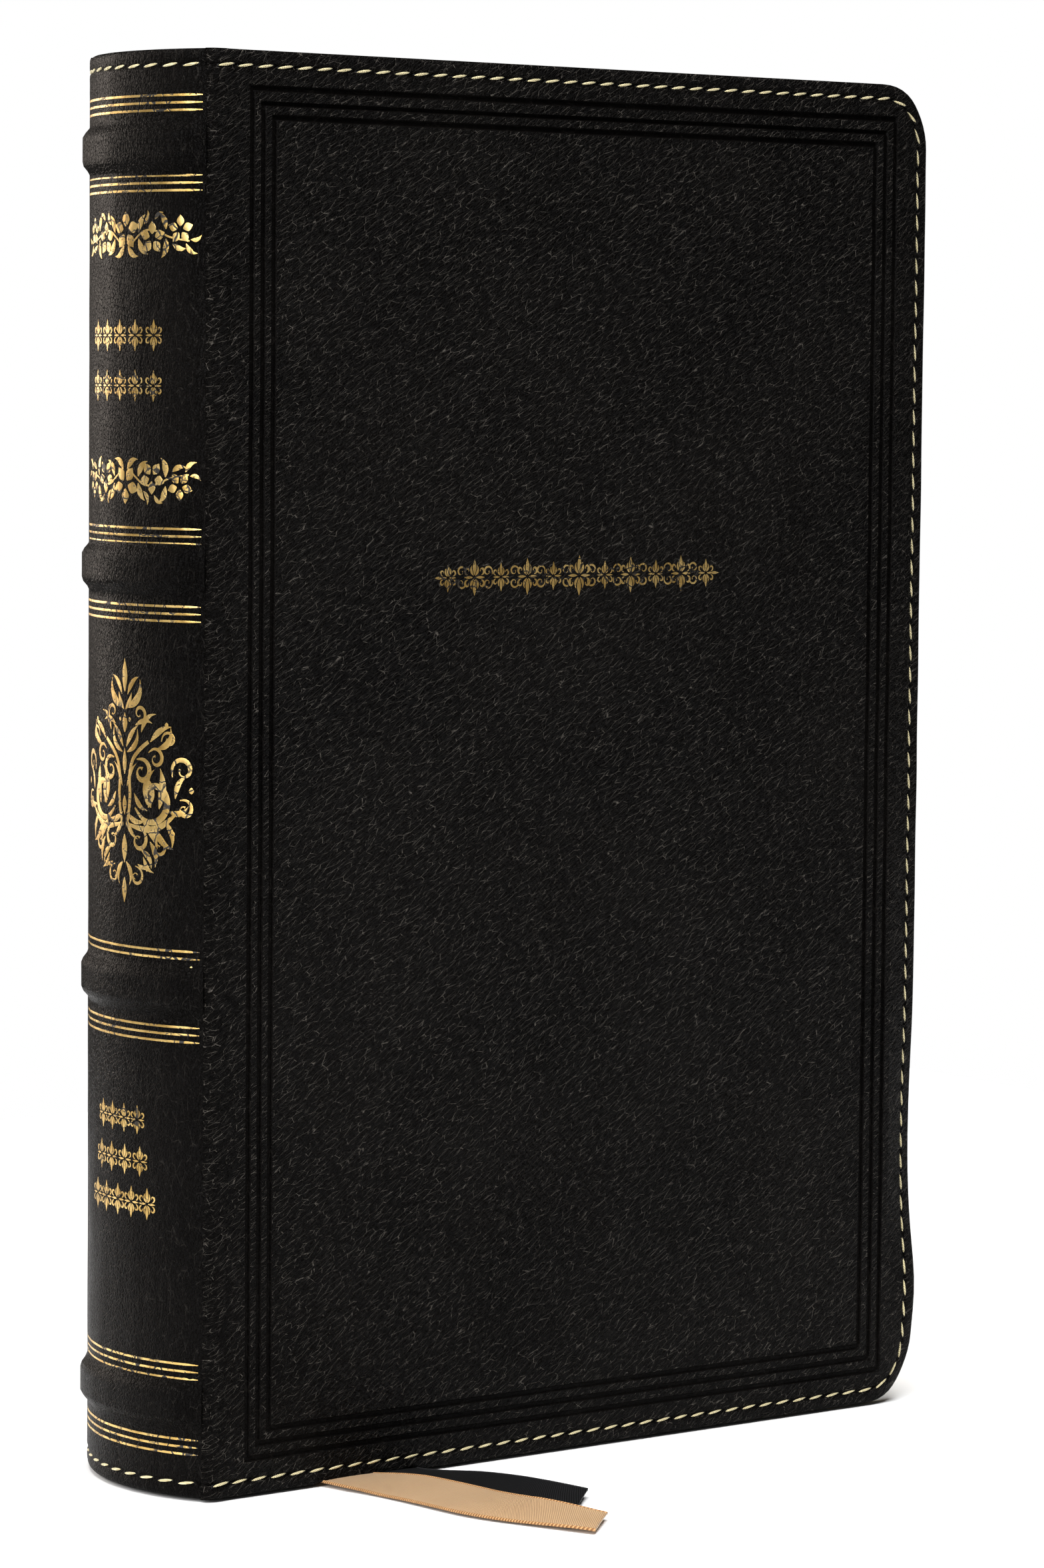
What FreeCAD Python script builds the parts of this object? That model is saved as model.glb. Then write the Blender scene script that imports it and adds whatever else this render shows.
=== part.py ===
"""A ribbed, sewn leather-look bible, standing on its tail edge.

Frame: +Z towards the head, +X towards the fore-edge, -Y out of the front cover.
The origin is the middle of the foot of the closed book. Sizes are in millimetres.
"""
import FreeCAD, Part
import math
import os

import Sketcher

os.makedirs("parts", exist_ok=True)
doc = FreeCAD.newDocument("bible")

DRIVING_SIZES = {
    # the cover
    "cover_height": 220.0,
    "cover_width": 141.0,
    "book_thickness": 36.0,
    "cover_corner": 10.5,
    "leather_thickness": 1.0,
    "rim_thickness": 1.8,
    "rim_width": 4.8,
    "fold_gap": 0.35,
    "board_start": 6.0,
    "board_thickness": 1.7,
    "board_margin": 5.0,
    "board_corner": 6.0,
    "lining_start": 4.0,
    "lining_margin": 1.0,
    "lining_thickness": 0.6,
    # the spine
    "spine_rise": 6.2,
    "spine_relief": 1.6,
    "turn_in_depth": 12.0,
    "turn_in_thickness": 0.8,
    "stiffener_thickness": 0.8,
    "stiffener_clearance": 0.2,
    "band_rise": 1.3,
    "band_width": 6.4,
    "band_wall": 0.5,
    "band_clearance": 0.03,
    "first_band": 14.5,
    "band_pitch": 63.7,
    # the stitching
    "stitch_margin": 2.4,
    "stitch_length": 2.4,
    "stitch_pitch": 3.55,
    "thread_size": 0.45,
    "channel_width": 0.8,
    "channel_depth": 0.5,
    # the text block
    "page_square": 3.5,
    "fore_square": 5.0,
    "page_corner": 7.0,
    "ribbon_slot": 0.5,
    "hollow_gap": 1.2,
    "liner_thickness": 0.4,
    "liner_margin": 6.0,
    "mull_thickness": 0.3,
    "sewing_thickness": 0.25,
    "sewing_height": 0.5,
    "sewing_clearance": 0.02,
    "band_bead": 0.9,
    "block_relief": 0.5,
    # the loose leaves next to the covers
    "cover_clearance": 0.3,
    "leaf_gap": 0.2,
    "flyleaf_thickness": 0.25,
    "bundle_thickness": 0.5,
    "flyleaf_hinge": 7.0,
    "hinge_step": 2.0,
    # the ribbon markers
    "ribbon_width": 9.5,
    "ribbon_thickness": 0.25,
    "ribbon_bend": 2.2,
    "ribbon_lift": 0.02,
    "tan_ribbon_place": 20.5,
    "black_ribbon_place": 30.5,
    "tan_ribbon_reach": 50.0,
    "black_ribbon_reach": 37.0,
    "ribbon_notch": 0.6,
    "notch_margin": 1.0,
}
GATHERINGS = 16
BANDS = 4
SEWING_STATIONS = 5
ROUNDING = 0.45  # of a plate's thickness, where its bound edge is rounded
OVERCUT = 1.0    # how far outside a piece a cut starts
TINY = 0.01      # a length or a volume too small to count

sheet = doc.addObject("Spreadsheet::Sheet", "sizes")
for row, (alias, number) in enumerate(DRIVING_SIZES.items(), start=1):
    sheet.set(f"A{row}", alias)
    sheet.set(f"B{row}", str(number))
    sheet.setAlias(f"B{row}", alias)
doc.recompute()


class Size:
    """A length or an angle that knows its number and its formula in the sheet."""

    def __init__(self, number, formula=None):
        self.number = float(number)
        self.formula = formula or repr(float(number))

    @staticmethod
    def of(thing):
        return thing if isinstance(thing, Size) else Size(thing)

    def join(self, other, sign, number):
        return Size(number, f"({self.formula} {sign} {other.formula})")

    def __add__(self, other):
        other = Size.of(other)
        return self.join(other, "+", self.number + other.number)

    def __sub__(self, other):
        other = Size.of(other)
        return self.join(other, "-", self.number - other.number)

    def __mul__(self, other):
        other = Size.of(other)
        return self.join(other, "*", self.number * other.number)

    def __truediv__(self, other):
        other = Size.of(other)
        return self.join(other, "/", self.number / other.number)

    def __radd__(self, other):
        return Size.of(other) + self

    def __rsub__(self, other):
        return Size.of(other) - self

    def __rmul__(self, other):
        return Size.of(other) * self

    def __neg__(self):
        return Size(-self.number, f"(0 - {self.formula})")

    def root(self):
        return Size(math.sqrt(self.number), f"sqrt({self.formula})")

    def arcsine(self):
        return Size(math.degrees(math.asin(self.number)), f"asin({self.formula})")


def size(alias):
    return Size(sheet.get(alias), f"sizes.{alias}")


# ---------------------------------------------------------------- worked-out sizes
height = size("cover_height")
width = size("cover_width")
half_thickness = size("book_thickness") / 2
rise = size("spine_rise")
leather = size("leather_thickness")

fold_x = (rise + size("band_rise") - width) / 2
spine_radius = (half_thickness * half_thickness + rise * rise) / (2 * rise)
spine_centre = fold_x + spine_radius - rise
half_sweep = (half_thickness / spine_radius).arcsine() - (size("spine_relief") / spine_radius).arcsine()

cover_depth = leather + size("rim_thickness") + size("lining_thickness")
inner_face = half_thickness - cover_depth
flyleaf_face = inner_face - size("cover_clearance")
bundle_face = flyleaf_face - size("flyleaf_thickness") - size("leaf_gap")
second_face = bundle_face - size("bundle_thickness") - size("leaf_gap")
half_block = second_face - size("bundle_thickness") - size("leaf_gap")
gathering_thickness = (2 * half_block - size("ribbon_slot")) / GATHERINGS

turn_in_radius = spine_radius - leather - size("turn_in_thickness")
liner_radius = turn_in_radius - size("hollow_gap")
mull_radius = liner_radius - size("liner_thickness")
back_radius = mull_radius - size("mull_thickness") - size("sewing_thickness") - 2 * size("sewing_clearance")

page_height = height - 2 * size("page_square")
page_end = fold_x + width - size("fore_square")


def back_line(y):
    """Where the rounded back of the text block lies at a distance from its middle."""
    return spine_centre - (back_radius * back_radius - y * y).root()


page_width = page_end - back_line(half_block)


# ---------------------------------------------------------------- helpers
def bind(thing, name, value):
    """Tie a property to a formula in the sheet."""
    thing.setExpression(name, Size.of(value).formula)


def place(body, x, y, z, turn=None):
    """Give a body its Placement; turn is an axis and an angle in degrees."""
    rotation = FreeCAD.Rotation(*turn) if turn else FreeCAD.Rotation()
    spot = [Size.of(v) for v in (x, y, z)]
    body.Placement = FreeCAD.Placement(FreeCAD.Vector(*[v.number for v in spot]), rotation)
    for letter, value in zip("xyz", spot):
        bind(body, f"Placement.Base.{letter}", value)


def new_body(label):
    body = doc.addObject("PartDesign::Body", label)
    body.Label = label
    body.AllowCompound = True
    return body


def new_sketch(body, name, plane, offset=0):
    """A sketch on one of the body's own origin planes, moved along that plane's normal."""
    sketch = body.newObject("Sketcher::SketchObject", name)
    role = next(f for f in body.Origin.OriginFeatures if f.Role == plane)
    sketch.AttachmentSupport = [(role, "")]
    sketch.MapMode = "FlatFace"
    offset = Size.of(offset)
    sketch.AttachmentOffset = FreeCAD.Placement(FreeCAD.Vector(0, 0, offset.number), FreeCAD.Rotation())
    bind(sketch, "AttachmentOffset.Base.z", offset)
    return sketch


def pin_point(sketch, geometry, position, x=None, y=None):
    """Fix a point of the sketch by its distances from the sketch's origin."""
    for kind, value in (("DistanceX", x), ("DistanceY", y)):
        if value is not None:
            value = Size.of(value)
            number = sketch.addConstraint(
                Sketcher.Constraint(kind, -1, 1, geometry, position, value.number))
            bind(sketch, f"Constraints[{number}]", value)


def heading(a, b):
    """The direction from one corner to the next, along one axis."""
    dx, dy = b[0].number - a[0].number, b[1].number - a[1].number
    if abs(dx) > abs(dy):
        return (math.copysign(1, dx), 0)
    return (0, math.copysign(1, dy))


def outline(sketch, corners):
    """A closed loop of corners (x, y) or, where rounded between two level sides, (x, y, radius)."""
    corners = [tuple(Size.of(v) for v in corner) for corner in corners]
    steps = []
    for n, corner in enumerate(corners):
        if len(corner) == 2:
            steps.append((corner, None, corner, None))
            continue
        x, y, radius = corner
        came = heading(corners[n - 1], corner)
        goes = heading(corner, corners[(n + 1) % len(corners)])
        entry = (x - came[0] * radius, y - came[1] * radius)
        leave = (x + goes[0] * radius, y + goes[1] * radius)
        centre = (entry[0] + goes[0] * radius, entry[1] + goes[1] * radius)
        steps.append((entry, centre, leave, (came, goes)))

    def point(pair):
        return FreeCAD.Vector(pair[0].number, pair[1].number, 0)

    first, last = None, None
    for n, (entry, centre, leave, turn) in enumerate(steps):
        after = steps[(n + 1) % len(steps)][0]
        if turn:
            (ax, ay), (bx, by) = turn
            radius = (point(entry) - point(centre)).Length
            middle = point(centre) + FreeCAD.Vector(ax - bx, ay - by, 0) * radius * math.sqrt(0.5)
            arc = Part.Arc(point(entry), middle, point(leave))
            bend = sketch.addGeometry(arc, False)
            left_turn = ax * by - ay * bx > 0
            head, tail = (1, 2) if left_turn else (2, 1)
            pin_point(sketch, bend, head, *entry)
            pin_point(sketch, bend, 3, *centre)
            pin_point(sketch, bend, tail, *((leave[0], None) if by == 0 else (None, leave[1])))
            if last is not None:
                sketch.addConstraint(Sketcher.Constraint("Coincident", last, 2, bend, head))
            line = sketch.addGeometry(Part.LineSegment(point(leave), point(after)), False)
            sketch.addConstraint(Sketcher.Constraint("Coincident", bend, tail, line, 1))
            first = (bend, head) if first is None else first
        else:
            line = sketch.addGeometry(Part.LineSegment(point(leave), point(after)), False)
            pin_point(sketch, line, 1, *leave)
            if last is not None:
                sketch.addConstraint(Sketcher.Constraint("Coincident", last, 2, line, 1))
            first = (line, 1) if first is None else first
        last = line
    sketch.addConstraint(Sketcher.Constraint("Coincident", last, 2, *first))


def pad(body, name, sketch, length):
    """Thicken an XZ sketch towards +Y, or an XY sketch upwards."""
    feature = body.newObject("PartDesign::Pad", name)
    feature.Profile = sketch
    bind(feature, "Length", length)
    feature.Reversed = sketch.AttachmentSupport[0][0].Role == "XZ_Plane"
    return feature


def pocket(body, name, sketch, depth):
    """Cut an XZ sketch away towards +Y, and make sure that it did cut."""
    doc.recompute()
    before = body.Shape.Volume
    feature = body.newObject("PartDesign::Pocket", name)
    feature.Profile = sketch
    bind(feature, "Length", depth)
    doc.recompute()
    if body.Shape.Volume > before - TINY:
        raise RuntimeError(f"{name} cuts nothing")
    return feature


def revolve(body, sketch, sweep):
    """Turn an XZ sketch about the body's own Z axis, evenly to both sides."""
    feature = body.newObject("PartDesign::Revolution", "turn")
    feature.Profile = sketch
    feature.ReferenceAxis = (sketch, ["V_Axis"])
    feature.Midplane = True
    bind(feature, "Angle", sweep)


def plate(label, corners, thickness, y=0):
    """A flat body that lies from y towards +Y, with the outline of its XZ corners."""
    body = new_body(label)
    sketch = new_sketch(body, "outline", "XZ_Plane", -Size.of(y))
    outline(sketch, corners)
    pad(body, "thickness", sketch, thickness)
    return body


def panel(x, x_end, z, z_end, corner):
    """The corners of a panel whose fore-edge corners are rounded."""
    return [(x, z), (x_end, z, corner), (x_end, z_end, corner), (x, z_end)]


def border(x, x_end, z, z_end, corner, wide):
    """The corners of a border round three sides of a panel, open at the spine."""
    return [
        (x, z), (x_end, z, corner), (x_end, z_end, corner), (x, z_end), (x, z_end - wide),
        (x_end - wide, z_end - wide, corner - wide), (x_end - wide, z + wide, corner - wide),
        (x, z + wide),
    ]


def on_spine(body):
    """Centre a revolved body on the spine's arc, opening towards the fore-edge."""
    place(body, spine_centre, 0, 0, (FreeCAD.Vector(0, 0, 1), 180))


# ---------------------------------------------------------------- covers
def to_cover(body, side):
    """Place a piece drawn from the fold (x), the outer face (y) and the tail (z)."""
    if side == "front":
        place(body, fold_x, -half_thickness, 0)
    else:
        place(body, fold_x, half_thickness, height, (FreeCAD.Vector(1, 0, 0), 180))


def cover_leather(side):
    corner = size("cover_corner")
    gap = size("fold_gap")
    body = plate(f"{side}_leather", panel(gap, width, 0, height, corner), leather)
    rim = new_sketch(body, "rim_outline", "XZ_Plane", -leather)
    outline(rim, border(size("board_start"), width, 0, height, corner, size("rim_width")))
    pad(body, "rim", rim, size("rim_thickness"))
    channel = new_sketch(body, "channel_outline", "XZ_Plane")
    inset = size("stitch_margin") - size("channel_width") / 2
    loop = border(gap - OVERCUT, width - inset, inset, height - inset, corner - inset,
                  size("channel_width"))
    outline(channel, loop)
    pocket(body, "channel", channel, size("channel_depth"))
    if side == "front":
        notch = new_sketch(body, "notch_outline", "XZ_Plane")
        low = size("tan_ribbon_place") - size("notch_margin")
        high = size("black_ribbon_place") + size("ribbon_width") + size("notch_margin")
        depth = size("ribbon_notch")
        outline(notch, [(low, -OVERCUT), (high, -OVERCUT), (high, depth), (low, depth)])
        pocket(body, "ribbon_notch", notch, leather + size("rim_thickness"))
    to_cover(body, side)


def cover_board(side):
    margin = size("board_margin")
    shape = panel(size("board_start"), width - margin, margin, height - margin, size("board_corner"))
    to_cover(plate(f"{side}_board", shape, size("board_thickness"), leather), side)


def cover_lining(side):
    margin = size("lining_margin")
    shape = panel(size("lining_start"), width - margin, margin, height - margin,
                  size("cover_corner") - margin)
    body = plate(f"{side}_lining", shape, size("lining_thickness"), leather + size("rim_thickness"))
    to_cover(body, side)


def stitch_places():
    """Middle and slope of each stitch, from the fold along the tail, fore-edge and head."""
    margin = sheet.stitch_margin
    start = sheet.fold_gap + sheet.stitch_length / 2
    bend = sheet.cover_corner - margin
    side = sheet.cover_width - sheet.cover_corner - start
    rise_length = sheet.cover_height - 2 * sheet.cover_corner
    quarter = bend * math.pi / 2
    stretches = [side, quarter, rise_length, quarter, side]
    total = sum(stretches)
    count = int(total / sheet.stitch_pitch)
    far_x, far_z = sheet.cover_width - margin, sheet.cover_height - margin
    for n in range(count + 1):
        run = n * total / count
        leg = 0
        while leg < 4 and run > stretches[leg]:
            run -= stretches[leg]
            leg += 1
        if leg == 0:
            yield start + run, margin, 0
        elif leg == 1:
            turn = run / bend
            yield far_x - bend + bend * math.sin(turn), margin + bend - bend * math.cos(turn), turn
        elif leg == 2:
            yield far_x, margin + bend + run, math.pi / 2
        elif leg == 3:
            turn = math.pi / 2 + run / bend
            yield far_x - bend + bend * math.sin(turn), far_z - bend - bend * math.cos(turn), turn
        else:
            yield far_x - bend - run, far_z, math.pi


def cover_stitching(side):
    """Each stitch is a short bar of thread that lies flush in its channel."""
    long, thick = sheet.stitch_length, sheet.thread_size
    bars = []
    for x, z, slope in stitch_places():
        bar = Part.makeBox(long, thick, thick, FreeCAD.Vector(-long / 2, 0, -thick / 2))
        bar.Placement = FreeCAD.Placement(
            FreeCAD.Vector(x, 0, z),
            FreeCAD.Rotation(FreeCAD.Vector(0, -1, 0), math.degrees(slope)),
        ).multiply(bar.Placement)
        bars.append(bar)
    group = doc.addObject("Part::Feature", f"{side}_stitching")
    group.Label = f"{side}_stitching"
    group.Shape = Part.makeCompound(bars)
    to_cover(group, side)


# ---------------------------------------------------------------- spine
def band_height(n):
    return height - size("first_band") - n * size("band_pitch")


def band_steps(n, radius, lift, inset):
    """The four corners of a band's cross-section, from its tail side to its head side."""
    wide = size("band_width")
    middle = band_height(n)
    foot, top = wide / 2 - inset, wide / 4 - inset / 2
    return [(radius, middle - foot), (radius + lift, middle - top),
            (radius + lift, middle + top), (radius, middle + foot)]


def channel_steps(radius, middle):
    half, depth = size("channel_width") / 2, size("channel_depth")
    return [(radius, middle - half), (radius - depth, middle - half),
            (radius - depth, middle + half), (radius, middle + half)]


def spine_leather():
    lift, wall = size("band_rise"), size("band_wall")
    margin, turned = size("stitch_margin"), size("turn_in_depth")
    inside = spine_radius - leather
    steps = [(turn_in_radius, 0), (spine_radius, 0)]
    steps += channel_steps(spine_radius, margin)
    for n in reversed(range(BANDS)):
        steps += band_steps(n, spine_radius, lift, 0)
    steps += channel_steps(spine_radius, height - margin)
    steps += [(spine_radius, height), (turn_in_radius, height)]
    steps += [(turn_in_radius, height - turned), (inside, height - turned)]
    for n in range(BANDS):
        steps += reversed(band_steps(n, inside, lift, wall))
    steps += [(inside, turned), (turn_in_radius, turned)]
    body = new_body("spine_leather")
    sketch = new_sketch(body, "profile", "XZ_Plane")
    outline(sketch, steps)
    revolve(body, sketch, 2 * half_sweep)
    on_spine(body)


def arc_shell(label, inner, thickness, low, high, sweep):
    """A curved sheet round the back of the book."""
    body = new_body(label)
    sketch = new_sketch(body, "profile", "XZ_Plane")
    outer = inner + thickness
    outline(sketch, [(inner, low), (outer, low), (outer, high), (inner, high)])
    revolve(body, sketch, sweep)
    on_spine(body)


def raised_band(n):
    body = new_body(f"raised_band_{n + 1}")
    sketch = new_sketch(body, "profile", "XZ_Plane")
    base = spine_radius - leather
    clear = size("band_clearance")
    outline(sketch, band_steps(n, base, size("band_rise") - clear, size("band_wall") + clear))
    revolve(body, sketch, 2 * half_sweep)
    on_spine(body)


def spine_stitching():
    radius = spine_radius.number
    thick, long = sheet.thread_size, sheet.stitch_length
    reach = math.radians(half_sweep.number) * radius - long / 2
    count = int(2 * reach / sheet.stitch_pitch)
    bars = []
    for z in (sheet.stitch_margin, sheet.cover_height - sheet.stitch_margin):
        for n in range(count + 1):
            turn = (2 * n / count - 1) * reach / radius
            bar = Part.makeBox(thick, long, thick,
                               FreeCAD.Vector(radius - sheet.channel_depth, -long / 2, z - thick / 2))
            bar.rotate(FreeCAD.Vector(), FreeCAD.Vector(0, 0, 1), math.degrees(turn))
            bars.append(bar)
    group = doc.addObject("Part::Feature", "spine_stitching")
    group.Label = "spine_stitching"
    group.Shape = Part.makeCompound(bars)
    on_spine(group)


# ---------------------------------------------------------------- text block
def round_bound_edge(body, thickness):
    """Round the two long edges of a plate at its spine side."""
    doc.recompute()
    base = body.Tip
    bound = [f"Edge{k}" for k, edge in enumerate(base.Shape.Edges, start=1)
             if edge.Length > sheet.cover_height / 2 and abs(edge.CenterOfMass.x) < TINY]
    fillet = body.newObject("PartDesign::Fillet", "bound_edge")
    fillet.Base = (base, bound)
    bind(fillet, "Radius", thickness * ROUNDING)


def gathering(n):
    """A folded section of pages; the middle two stand apart to let the ribbons through."""
    past_slot = size("ribbon_slot") if n >= GATHERINGS // 2 else 0
    low = n * gathering_thickness - half_block + past_slot
    outer_face = low + gathering_thickness if past_slot else low
    body = plate(f"gathering_{n + 1:02d}", panel(0, page_width, 0, page_height, size("page_corner")),
                 gathering_thickness)
    round_bound_edge(body, gathering_thickness)
    place(body, back_line(outer_face), low, size("page_square"))


def sewing():
    """Thread that ties the folded sections together, at stations along the back."""
    body = new_body("sewing_thread")
    sketch = new_sketch(body, "profile", "XZ_Plane")
    inner = back_radius + size("sewing_clearance")
    outer = inner + size("sewing_thickness")
    half = size("sewing_height") / 2
    for n in range(SEWING_STATIONS):
        middle = size("page_square") + page_height * (n + 1) / (SEWING_STATIONS + 1)
        outline(sketch, [(inner, middle - half), (outer, middle - half),
                         (outer, middle + half), (inner, middle + half)])
    revolve(body, sketch, block_sweep)
    on_spine(body)


def end_band(label, z):
    """The rolled silk band across the back at the head or the tail of the pages."""
    body = new_body(label)
    sketch = new_sketch(body, "profile", "XZ_Plane")
    bead = size("band_bead")
    radius = back_radius - bead
    roll = sketch.addGeometry(Part.Circle(FreeCAD.Vector(radius.number, z.number, 0),
                                          FreeCAD.Vector(0, 0, 1), bead.number), False)
    pin_point(sketch, roll, 3, radius, z)
    number = sketch.addConstraint(Sketcher.Constraint("Radius", roll, bead.number))
    bind(sketch, f"Constraints[{number}]", bead)
    revolve(body, sketch, block_sweep)
    on_spine(body)


def leaf(label, side, order, thickness, face):
    """A leaf or a few leaves, tipped on along a line that steps away from the spine."""
    hinge = fold_x + size("flyleaf_hinge") + order * size("hinge_step")
    shape = panel(0, page_end - hinge, 0, page_height, size("page_corner"))
    body = plate(label, shape, thickness, -(thickness / 2))
    round_bound_edge(body, thickness)
    middle = face - thickness / 2
    place(body, hinge, middle if side == "back" else -middle, size("page_square"))


def ribbon(label, place_x, reach):
    """A flat marker, held at the head, that runs down the middle of the book,
    turns forward under the pages and lies on the table in front of the cover."""
    body = new_body(label)
    sketch = new_sketch(body, "profile", "YZ_Plane")
    thick, bend, lift = size("ribbon_thickness"), size("ribbon_bend"), size("ribbon_lift")
    top = height - size("page_square")
    half = thick / 2
    end = -(half_thickness + reach)
    outline(sketch, [
        (-half, top), (-half, lift + thick, bend), (end, lift + thick),
        (end, lift), (half, lift, bend + thick), (half, top),
    ])
    feature = body.newObject("PartDesign::Pad", "breadth")
    feature.Profile = sketch
    bind(feature, "Length", size("ribbon_width"))
    place(body, fold_x + place_x, 0, 0)


block_sweep = 2 * (half_block / back_radius).arcsine() - 2 * (size("block_relief") / back_radius).arcsine()

for side in ("front", "back"):
    cover_leather(side)
    cover_board(side)
    cover_lining(side)
    cover_stitching(side)

spine_leather()
spine_stitching()
for n in range(BANDS):
    raised_band(n)
turned = size("turn_in_depth") + size("stiffener_clearance")
arc_shell("spine_stiffener", turn_in_radius, size("stiffener_thickness"), turned, height - turned,
          2 * half_sweep)
liner_low = size("page_square") + size("liner_margin")
arc_shell("spine_liner", mull_radius, size("liner_thickness"), liner_low, height - liner_low, block_sweep)
arc_shell("mull", mull_radius - size("mull_thickness"), size("mull_thickness"),
          liner_low, height - liner_low, block_sweep)

for n in range(GATHERINGS):
    gathering(n)
sewing()
end_band("tail_band", size("page_square") - size("band_bead"))
end_band("head_band", height - size("page_square") + size("band_bead"))

thin, thicker = size("flyleaf_thickness"), size("bundle_thickness")
leaf("front_flyleaf", "front", 0, thin, flyleaf_face)
leaf("presentation_leaves", "front", 1, thicker, bundle_face)
leaf("title_leaves", "front", 2, thicker, second_face)
leaf("back_flyleaf", "back", 0, thin, flyleaf_face)
leaf("map_leaves", "back", 1, thicker, bundle_face)
leaf("note_leaves", "back", 2, thicker, second_face)

ribbon("tan_ribbon", size("tan_ribbon_place"), size("tan_ribbon_reach"))
ribbon("black_ribbon", size("black_ribbon_place"), size("black_ribbon_reach"))

# ---------------------------------------------------------------- checks and files
doc.recompute()
for thing in doc.Objects:
    if "Invalid" in thing.State or "Error" in thing.State:
        raise RuntimeError(f"{thing.Label} failed: {thing.State}")

pieces = [thing for thing in doc.Objects
          if thing.isDerivedFrom("PartDesign::Body") or thing.TypeId == "Part::Feature"]
for piece in pieces:
    if piece.Shape.isNull() or not piece.Shape.isValid():
        raise RuntimeError(f"{piece.Label} has no sound shape")
for piece in pieces:
    piece.Shape.exportStep(f"parts/{piece.Label}.step")
    print(f"{piece.Label}: {len(piece.Shape.Solids)} solids, {piece.Shape.Volume:.1f} mm3")
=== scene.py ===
import math

import bmesh
import bpy
from mathutils import Matrix, Quaternion, Vector, noise


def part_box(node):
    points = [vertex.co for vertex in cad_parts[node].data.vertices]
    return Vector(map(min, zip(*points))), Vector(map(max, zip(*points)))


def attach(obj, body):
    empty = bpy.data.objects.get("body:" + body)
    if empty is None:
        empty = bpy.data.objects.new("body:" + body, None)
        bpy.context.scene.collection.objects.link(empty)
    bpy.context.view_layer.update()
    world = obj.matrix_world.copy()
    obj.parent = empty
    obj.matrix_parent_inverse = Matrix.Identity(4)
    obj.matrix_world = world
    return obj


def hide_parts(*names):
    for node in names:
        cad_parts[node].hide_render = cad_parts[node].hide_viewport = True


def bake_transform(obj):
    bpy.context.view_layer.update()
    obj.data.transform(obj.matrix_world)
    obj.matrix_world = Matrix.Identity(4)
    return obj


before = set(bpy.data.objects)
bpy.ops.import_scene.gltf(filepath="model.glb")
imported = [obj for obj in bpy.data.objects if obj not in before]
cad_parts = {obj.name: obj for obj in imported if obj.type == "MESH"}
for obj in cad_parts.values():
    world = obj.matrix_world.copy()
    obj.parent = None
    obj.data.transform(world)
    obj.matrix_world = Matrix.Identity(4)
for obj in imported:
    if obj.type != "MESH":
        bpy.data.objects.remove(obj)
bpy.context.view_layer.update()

MM = 0.001
scene = bpy.context.scene


def box_mm(node):
    """A node's lowest and highest corners in millimetres."""
    return [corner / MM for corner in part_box(node)]


COVER_LOW, COVER_HIGH = box_mm("front_leather")
LINING_LOW = box_mm("front_lining")[0]
PAGE_LOW, PAGE_HIGH = box_mm("gathering_01")
FOLD_X = COVER_LOW.x - 0.35    # where the cover's outer face turns into the spine
FORE_EDGE = COVER_HIGH.x
HEIGHT = COVER_HIGH.z
INNER_FACE = 15.2          # from the middle of the book to the inside of a cover
COVER_DEPTH = 2.8          # leather, board and turned-in leather together
SPINE_CENTRE = -43.721
SPINE_RADIUS = 29.229
HALF_SPINE = 17.79         # half the spine's width, measured round its curve
BANDS = (205.5, 141.8, 78.1, 14.4)
BAND_RISE = 1.3
STITCH_EDGE = 2.4
CORNER = 10.5


def smooth(low, high, value):
    """0 below low, 1 above high and an easy slope between."""
    t = min(1.0, max(0.0, (value - low) / (high - low)))
    return t * t * (3 - 2 * t)


# ------------------------------------------------------------------ camera

def place_camera():
    data = bpy.data.cameras.new("camera")
    data.lens, data.sensor_width = 114.83, 36
    data.clip_start, data.clip_end = 0.05, 50
    camera = bpy.data.objects.new("camera", data)
    scene.collection.objects.link(camera)
    yaw, pitch, roll = (math.radians(a) for a in (36.205, 4.658, 0.516))
    forward = Vector((math.sin(yaw) * math.cos(pitch), math.cos(yaw) * math.cos(pitch), -math.sin(pitch)))
    turn = Quaternion(-forward, roll) @ forward.to_track_quat("-Z", "Y")
    camera.rotation_mode = "QUATERNION"
    camera.rotation_quaternion = turn
    camera.location = (-0.47349, -0.65221, 0.17151)
    scene.camera = camera


place_camera()

# ------------------------------------------------------------------ materials


class Wire:
    """One socket's value, which can be used in sums."""

    def __init__(self, finish, socket):
        self.finish, self.socket = finish, socket

    def _math(self, operation, *others):
        values = dict(enumerate((self, *others)))
        return self.finish.node("ShaderNodeMath", {"operation": operation}, values)

    def __add__(self, other): return self._math("ADD", other)
    def __sub__(self, other): return self._math("SUBTRACT", other)

    def __rsub__(self, other):
        return self.finish.node("ShaderNodeMath", {"operation": "SUBTRACT"}, {0: other, 1: self})

    def __mul__(self, other): return self._math("MULTIPLY", other)
    __radd__, __rmul__ = __add__, __mul__

    def over(self, low, high):
        """0 up to low, 1 from high, easy between; low may be the larger."""
        settings = {"interpolation_type": "SMOOTHSTEP"}
        if low > high:
            return 1 - self.over(high, low)
        sockets = {"Value": self, "From Min": low, "From Max": high}
        return self.finish.node("ShaderNodeMapRange", settings, sockets)


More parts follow.
